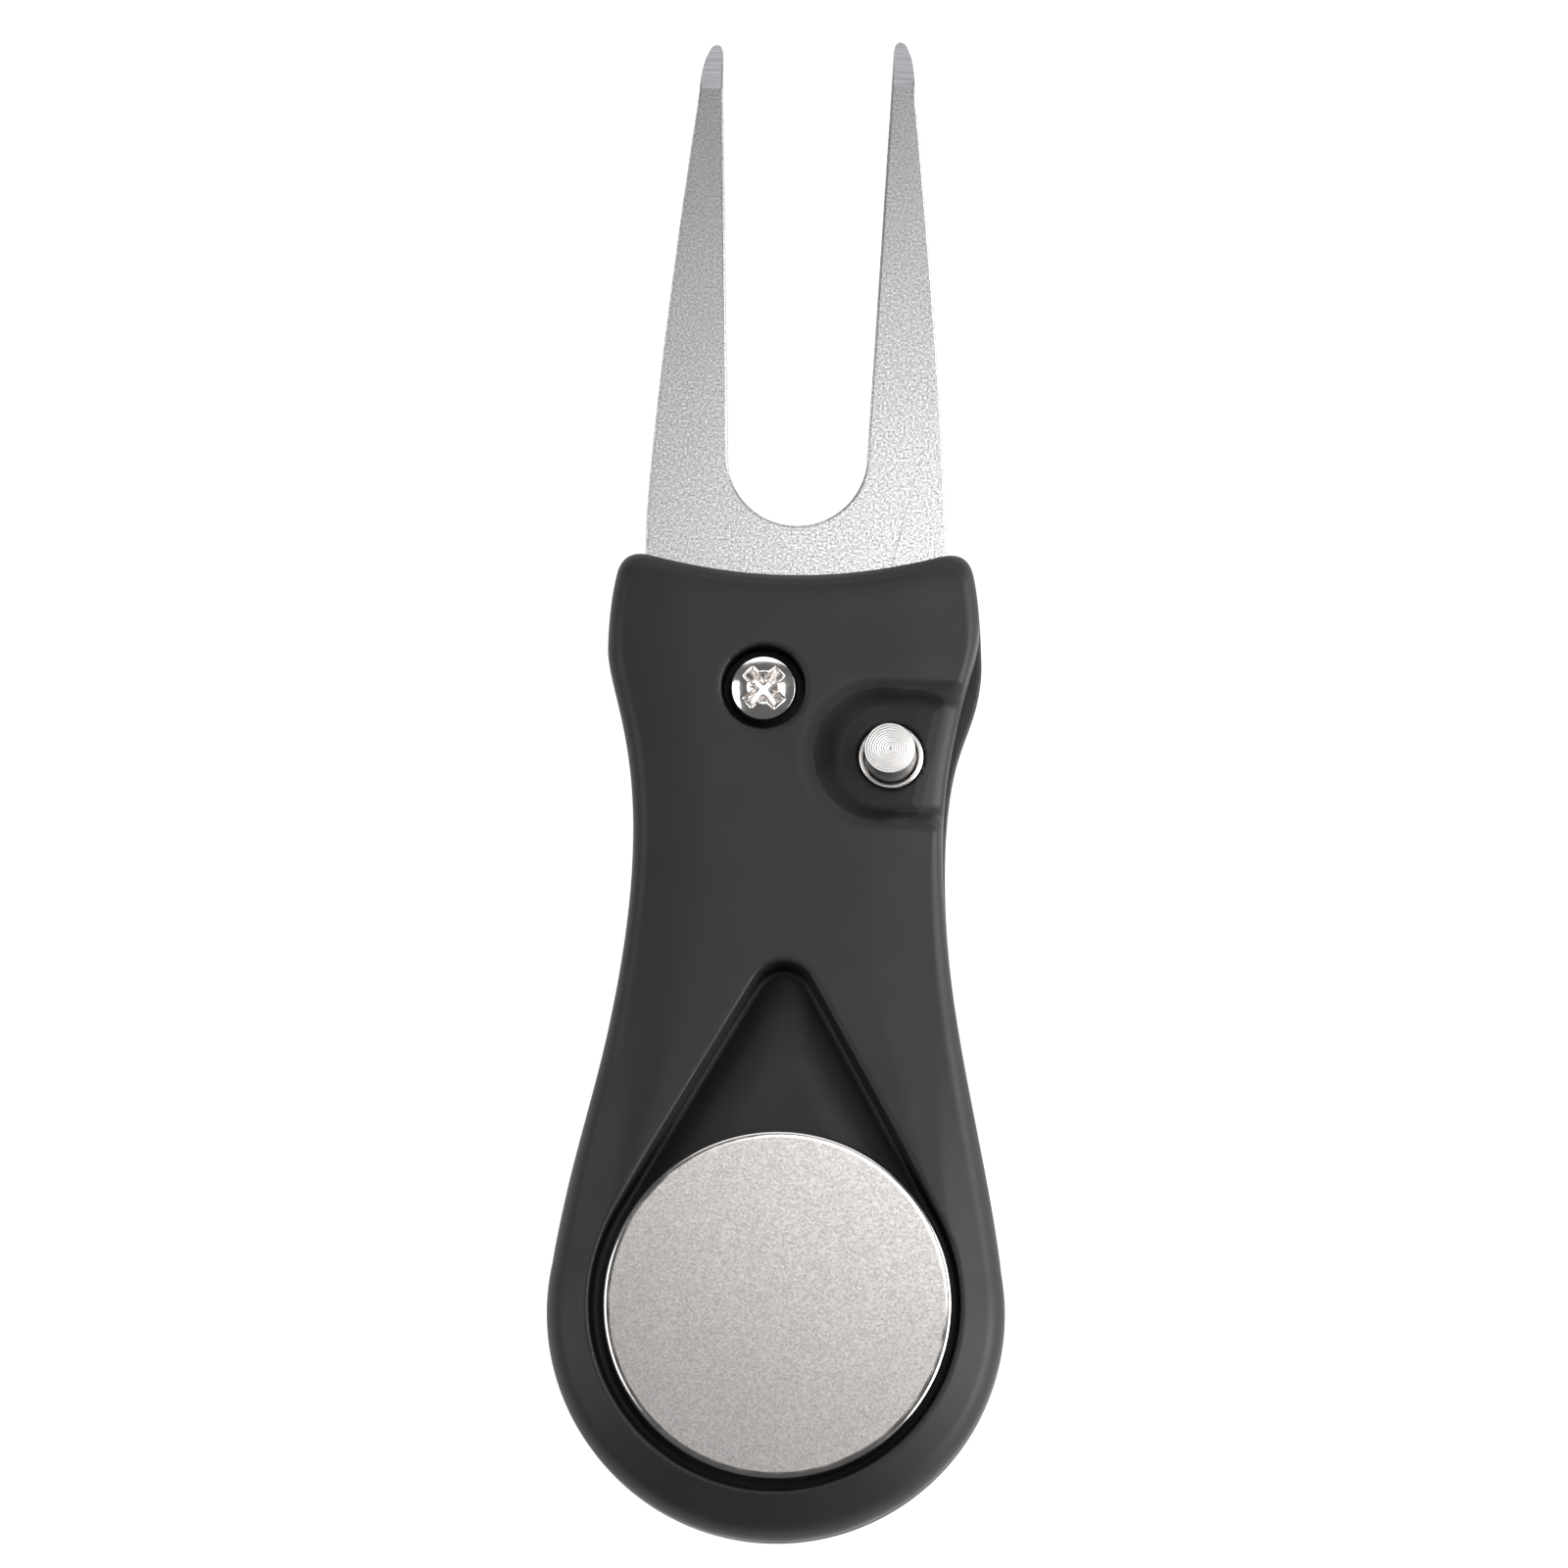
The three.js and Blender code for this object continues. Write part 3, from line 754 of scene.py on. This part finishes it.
# The fork, as (x, along) from the middle of the round end. Its prongs lean a little to the left,
# and the right tip is a little further out than the left one.
GRIND_START = 89.6
PRONG_CURVE = [(10.95, 54.6), (10.7, 64.4), (9.1, 79), (7.85, GRIND_START)]
POINT_CURVE = [(7.85, GRIND_START), (7.8, 90.8), (7.6, 91.9), (7.35, 92.4)]
TIP_CURVE = [(7.35, 92.4), (7.05, 93.45), (6.25, 93.5), (6.22, 92.3)]
PRONG_INSIDE = (6.15, GRIND_START)
NECK = [(9.5, 45.4), (10.3, 48.5)]
TIP_THICK = 0.35
CROTCH, CROTCH_R = 62.3, 5.05
TANG_R = 6.6
NOTCH_R = 3.6
EDGE_ROUND = 0.2
PRONG_ASIDE, ASIDE_FROM = 0.12, (55, 58)
TIP_STEP, STEP_FROM = 0.22, (80, 88)


def prong_side():
    """The fork's right side from the handle up round the tip and down to the crotch."""
    outer = bezier(PRONG_CURVE, count=30)
    point = bezier(POINT_CURVE, count=8)
    tip = bezier(TIP_CURVE, count=12)
    turn = np.radians(np.linspace(0, -90, 24))
    crotch = CROTCH_R * np.stack([np.cos(turn), np.sin(turn)], -1) + (0, CROTCH)
    return np.vstack([outer, point[1:], tip[1:], PRONG_INSIDE, crotch])


def tang_side():
    """The fork inside the handle: its neck, the button's notches and the round about the pivot."""
    pivot = PIVOT - at(0, 0)
    button = BUTTON - at(0, 0)
    back = -math.radians(joint_end("fork_swing", "range_deg"))
    spin = np.array([[math.cos(back), -math.sin(back)], [math.sin(back), math.cos(back)]])
    shut = pivot + spin @ (button - pivot)

    def ring(centre, r, start, end, count):
        t = np.radians(np.linspace(start, end, count))
        return np.stack([centre[0] + r * np.cos(t), centre[1] + r * np.sin(t)], -1)

    left_notch = ring(shut, NOTCH_R, start=88, end=-36, count=18)
    round_tang = ring(pivot, TANG_R, start=152, end=350, count=48)
    right_notch = ring(button, NOTCH_R, start=152, end=66, count=14)
    return np.vstack([left_notch, round_tang, right_notch, NECK])


def ground_limit(x, y):
    """Highest z that the grinding leaves at a point of the fork, and whether it is ground there."""
    start = BULB_Y + GRIND_START + math.copysign(TIP_STEP, x)
    slope = (FORK_HIGH[2] - FORK_LOW[2] - TIP_THICK) / (FORK_HIGH[1] - BULB_Y - GRIND_START)
    return FORK_HIGH[2] - slope * max(y - start, 0), y > start + 0.01


def rounded_plate(outline, caps):
    """The fork's plate: outline runs counter-clockwise and caps lists the top's faces by point."""
    low, high, steps = FORK_LOW[2], FORK_HIGH[2], 6
    ahead = np.roll(outline, -1, 0) - outline

    def outward(run):
        return np.stack([run[:, 1], -run[:, 0]], -1) / np.linalg.norm(run, axis=1)[:, None]

    corner = outward(ahead) + outward(np.roll(ahead, 1, 0))
    corner /= np.maximum((corner**2).sum(1), 1.0)[:, None] / 2
    turns = np.linspace(0, math.pi / 2, steps + 1)
    rounding = [
        (EDGE_ROUND * (1 - math.sin(t)), EDGE_ROUND * (1 - math.cos(t))) for t in turns
    ]
    rings = [(inset, low + rise) for inset, rise in rounding]
    rings += [(inset, high - rise) for inset, rise in rounding[::-1]]
    count = len(outline)
    bm = bmesh.new()
    verts, ground = [], []
    for inset, z in rings:
        places = outline - inset * corner
        limits = [ground_limit(x, y) for x, y in places]
        ground.append([was_ground and z >= limit for limit, was_ground in limits])
        verts.append([
            bm.verts.new((x * MM, y * MM, min(z, limit) * MM))
            for (x, y), (limit, _) in zip(places, limits)
        ])
    for k in range(len(rings) - 1):
        for i in range(count):
            j = (i + 1) % count
            face = bm.faces.new([verts[k][i], verts[k][j], verts[k + 1][j], verts[k + 1][i]])
            flat = (ground[k][i] or ground[k][j]) and (ground[k + 1][i] or ground[k + 1][j])
            face.smooth = not flat
            face.material_index = int(flat)
    bm.faces.new(verts[0][::-1]).smooth = False
    for number, cap in enumerate(caps):
        face = bm.faces.new([verts[-1][i] for i in cap])
        face.smooth = False
        face.material_index = int(number > 0)
    return bm


def make_fork():
    prong = prong_side()
    step = TIP_STEP * smooth_step(*STEP_FROM, prong[:, 1])
    aside = -PRONG_ASIDE * smooth_step(*ASIDE_FROM, prong[:, 1])
    right = prong + np.stack([aside, step], -1)
    left = (prong * (-1, 1) + np.stack([aside, -step], -1))[::-1][1:]
    outline = np.vstack([right, left, tang_side()]) + at(0, 0)
    outer, inner = np.flatnonzero(np.isclose(prong[:, 1], GRIND_START))
    mirror = 2 * len(prong) - 2
    between_tips = range(inner, mirror - inner + 1)
    body = [*range(outer + 1), *between_tips, *range(mirror - outer, len(outline))]
    right_tip, left_tip = range(outer, inner + 1), range(mirror - inner, mirror - outer + 1)
    bm = rounded_plate(outline, [body, right_tip, left_tip])
    mesh = bpy.data.meshes.new("fork_plate")
    bm.to_mesh(mesh)
    bm.free()
    piece = bpy.data.objects.new("fork_plate", mesh)
    bpy.context.scene.collection.objects.link(piece)
    mesh.materials.append(fork_steel())
    mesh.materials.append(ground_steel())
    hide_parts("fork")
    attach(piece, "fork")


def make_marker():
    low, high, r = MARKER_LOW[2], MARKER_HIGH[2], (MARKER_HIGH[0] - MARKER_LOW[0]) / 2
    foot, edge, rim_overlap = 0.2, 0.42, 0.1
    profile = [(0, low), (r - foot, low)] + arc(r - foot, low + foot, foot, -90, 0, 5)
    profile += arc(r - edge, high - edge, edge, 0, 90, 9)
    profile += [(r - edge - 0.12, high), (r - 1.5, high), (r - 6, high), (0, high)]
    piece = lathe("marker_disc", MARKER, profile, 160)
    piece.data.materials.append(marker_nickel())
    piece.data.materials.append(polished("marker_rim", (0.66, 0.63, 0.61), 0.16))
    for face in piece.data.polygons:
        reach = math.hypot(face.center.x / MM - MARKER[0], face.center.y / MM - MARKER[1])
        face.material_index = int(reach > r - edge - rim_overlap)
    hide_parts("ball_marker")
    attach(piece, "marker")


HEAD_PROUD = 0.3
HEAD_R, HEAD_DOME_R = 2.42, 6.0
SHANK_R, SHANK_LOW, SHANK_OVERLAP = 1.45, 0.8, 0.2
CROSS_DEPTH, CROSS_TAPER = 1.45, 1.5


def pivot_screw_distance(p):
    """A domed head with a cross recess, on a plain shank."""
    x, y, z = p[:, 0] - HEAD_AT[0], p[:, 1] - HEAD_AT[1], p[:, 2]
    high = box_mm("pivot_screw")[1][2] + HEAD_PROUD
    reach = np.hypot(x, y)
    dome = np.sqrt(reach**2 + (z - (high - HEAD_DOME_R)) ** 2) - HEAD_DOME_R
    head = soft_max(soft_max(reach - HEAD_R, dome, 0.2), HEAD_SEAT - z, 0.1)
    ends = np.maximum(SHANK_LOW - z, z - HEAD_SEAT - SHANK_OVERLAP)
    body = np.minimum(head, np.maximum(round_distance(p, PIVOT, SHANK_R), ends))
    u, v = (x + y) / math.sqrt(2), (x - y) / math.sqrt(2)
    depth = np.clip((high - z) / CROSS_TAPER, 0, 1)
    wide, long = 0.5 - 0.3 * depth, 1.78 - 1.1 * depth
    bars = np.minimum(
        np.maximum(np.abs(u) - long, np.abs(v) - wide),
        np.maximum(np.abs(v) - long, np.abs(u) - wide),
    )
    cone = reach - 1.05 * (1 - depth) - 0.1
    cross = np.maximum(np.minimum(bars, cone), high - CROSS_DEPTH - z) * 0.85
    return soft_max(body, -cross, 0.14)


def make_pivot_screw():
    low, high = box_mm("pivot_screw")
    low, high = low + (0, HEAD_AT[1] - PIVOT[1], 0), high + (0, 0, HEAD_PROUD)
    piece = piece_from_distance("pivot_head", pivot_screw_distance, low, high, cell=0.06)
    piece.data.materials.append(polished("nickel_plate", (0.92, 0.89, 0.87), 0.12))
    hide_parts("pivot_screw")
    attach(piece, "handle")


def make_button():
    low, high = box_mm("release_button")
    top, flange_z, flange_top, bore_top = high[2], low[2], 6.7, 5.8
    stud, flange, bore, edge = 1.82, 3.3, 2.05, 0.08
    profile = [(0, bore_top), (bore, bore_top), (bore, flange_z)]
    profile += [(flange, flange_z), (flange, flange_top), (stud, flange_top), (stud, top - 0.5)]
    profile += arc(stud - edge, top - edge, edge, 0, 90, 5)
    profile += [(1.0, top), (0.14, top), (0.1, top), (0.04, top - 0.03), (0, top - 0.03)]
    piece = lathe("button_stud", BUTTON, profile, 96)
    piece.data.materials.append(turned_steel())
    sharp_shading(piece, 40)
    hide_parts("release_button")
    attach(piece, "button")


def make_guide():
    """The sleeve round the button, with a rounded lip standing on the pocket's floor."""
    low, high = box_mm("button_guide")
    inner, outer, lip = 1.95, (high[0] - low[0]) / 2, 0.19
    ring = [(inner, low[2]), (outer, low[2])] + arc(outer - lip, high[2] - lip, lip, 0, 180, 11)
    ring += [(outer - 2 * lip, high[2] - 0.5), (inner, high[2] - 0.6)]
    sides = 96
    turns = np.arange(sides) * 2 * math.pi / sides
    points = [
        (BUTTON[0] + r * math.cos(t), BUTTON[1] + r * math.sin(t), z)
        for r, z in ring for t in turns
    ]
    faces = []
    for k in range(len(ring)):
        a, b = k * sides, (k + 1) % len(ring) * sides
        for i in range(sides):
            j = (i + 1) % sides
            faces.append([a + i, a + j, b + j, b + i])
    piece = new_piece("guide_sleeve", points, faces)
    piece.data.materials.append(polished("guide_nickel", (0.72, 0.7, 0.68), 0.3))
    sharp_shading(piece, 50)
    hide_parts("button_guide")
    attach(piece, "handle")


def make_button_coil():
    """The spring under the button."""
    low, high = box_mm("button_spring")
    wire, turns, steps, sides = 0.25, 5, 32, 12
    coil_r = (high[0] - low[0]) / 2 - wire
    share = np.linspace(0, 1, turns * steps + 1)
    rise = low[2] + wire + share * (high[2] - low[2] - 2 * wire)
    points = []
    for t, z in zip(share * turns * 2 * math.pi, rise):
        for a in np.arange(sides) * 2 * math.pi / sides:
            r = coil_r + wire * math.cos(a)
            x, y = BUTTON[0] + r * math.cos(t), BUTTON[1] + r * math.sin(t)
            points.append((x, y, z + wire * math.sin(a)))
    faces = [list(range(sides)), list(range(len(points) - 1, len(points) - 1 - sides, -1))]
    for a in range(0, len(points) - sides, sides):
        for i in range(sides):
            j = (i + 1) % sides
            faces.append([a + i, a + sides + i, a + sides + j, a + j])
    piece = new_piece("button_coil", points, faces)
    piece.data.materials.append(plain_metal("coil_steel", (0.3, 0.3, 0.32), 0.35))
    sharp_shading(piece, 50)
    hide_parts("button_spring")
    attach(piece, "handle")
    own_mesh(piece)


def dress_cad_nodes():
    """Node materials for the CAD pieces that stay."""
    looks = {
        "zinc_steel": plain_metal("zinc_steel", (0.42, 0.43, 0.44), 0.38),
        "spring_steel": plain_metal("spring_steel", (0.3, 0.3, 0.32), 0.35),
        "bearing_bronze": plain_metal("bearing_bronze", (0.42, 0.22, 0.07), 0.4),
        "magnet_nickel": plain_metal("magnet_nickel", (0.5, 0.5, 0.52), 0.25),
    }
    slots = {row["node"]: row["material_slot"] for row in frame["record"]["subparts"]}
    for name, node in frame["nodes"].items():
        look = looks.get(slots[name])
        if look is None or node.hide_render:
            continue
        for place in node.material_slots:
            place.link = "OBJECT"
            place.material = look
        sharp_shading(node)


# ---- Stage --------------------------------------------------------------------------------------


def make_floor():
    f = Finish("pale_floor", (0.22, 0.22, 0.22), 0.9)
    f.set("Specular IOR Level", 0.0)
    f.set("Emission Color", (1, 1, 1, 1))
    f.set("Emission Strength", 0.95)
    mesh = bpy.data.meshes.new("floor")
    half = 3.0
    corners = [(-half, -half, 0), (half, -half, 0), (half, half, 0), (-half, half, 0)]
    mesh.from_pydata(corners, [], [[0, 1, 2, 3]])
    mesh.materials.append(f.material)
    floor = bpy.data.objects.new("floor", mesh)
    floor.location.z = -0.0001
    bpy.context.scene.collection.objects.link(floor)


def area_light(name, place, target, size, radiance):
    """A soft box of the given radiance; place, target and size in metres."""
    data = bpy.data.lights.new(name, "AREA")
    data.shape = "RECTANGLE"
    data.size, data.size_y = size
    data.energy = radiance * math.pi * size[0] * size[1]
    light = bpy.data.objects.new(name, data)
    light.location = place
    way = Vector(target) - Vector(place)
    light.rotation_euler = way.to_track_quat("-Z", "Y").to_euler()
    bpy.context.scene.collection.objects.link(light)


def make_light():
    world = bpy.data.worlds.new("studio")
    bpy.context.scene.world = world
    world.use_nodes = True
    world.node_tree.nodes["Background"].inputs["Color"].default_value = (1, 1, 1, 1)
    world.node_tree.nodes["Background"].inputs["Strength"].default_value = 0.12
    area_light("overhead", (0.047, 0.025, 0.22), (0.047, 0.025, 0), (0.115, 0.076), 4.5)
    area_light("left", (-0.7, -0.05, 0.55), (0, 0, 0), (0.6, 0.5), 3.0)
    area_light("right", (0.65, 0.0, 0.27), (0, 0, 0), (0.7, 0.44), 4.4)
    area_light("low right", (0.38, -0.12, 0.13), (0, -0.03, 0), (0.34, 0.18), 5.4)
    area_light("back", (0.0, 0.7, 0.42), (0, 0.05, 0), (0.9, 0.4), 1.5)


def make_camera():
    """Looks down at the front face from a little below and to the right of square."""
    from_below, from_right, roll = math.radians(8.0), math.radians(2.12), math.radians(1.53)
    distance, view_width = 0.7, 0.11276
    aim = Vector((-0.00035, -0.00047, 0.009))
    back = Vector((math.sin(from_right), -math.sin(from_below), 1)).normalized()
    camera = bpy.data.cameras.new("camera")
    camera.lens = camera.sensor_width * distance / view_width
    camera.clip_start = 0.01
    holder = bpy.data.objects.new("camera", camera)
    up = Matrix.Rotation(roll, 3, back) @ Vector((0, 1, 0))
    side = up.cross(back).normalized()
    up = back.cross(side)
    turn = Matrix((side, up, back)).transposed()
    holder.matrix_world = Matrix.Translation(aim + distance * back) @ turn.to_4x4()
    bpy.context.scene.collection.objects.link(holder)
    bpy.context.scene.camera = holder


bpy.context.scene.view_settings.view_transform = "Standard"
make_camera()
make_light()
make_floor()
make_covers()
make_fork()
make_marker()
make_pivot_screw()
make_button()
make_guide()
make_button_coil()
dress_cad_nodes()
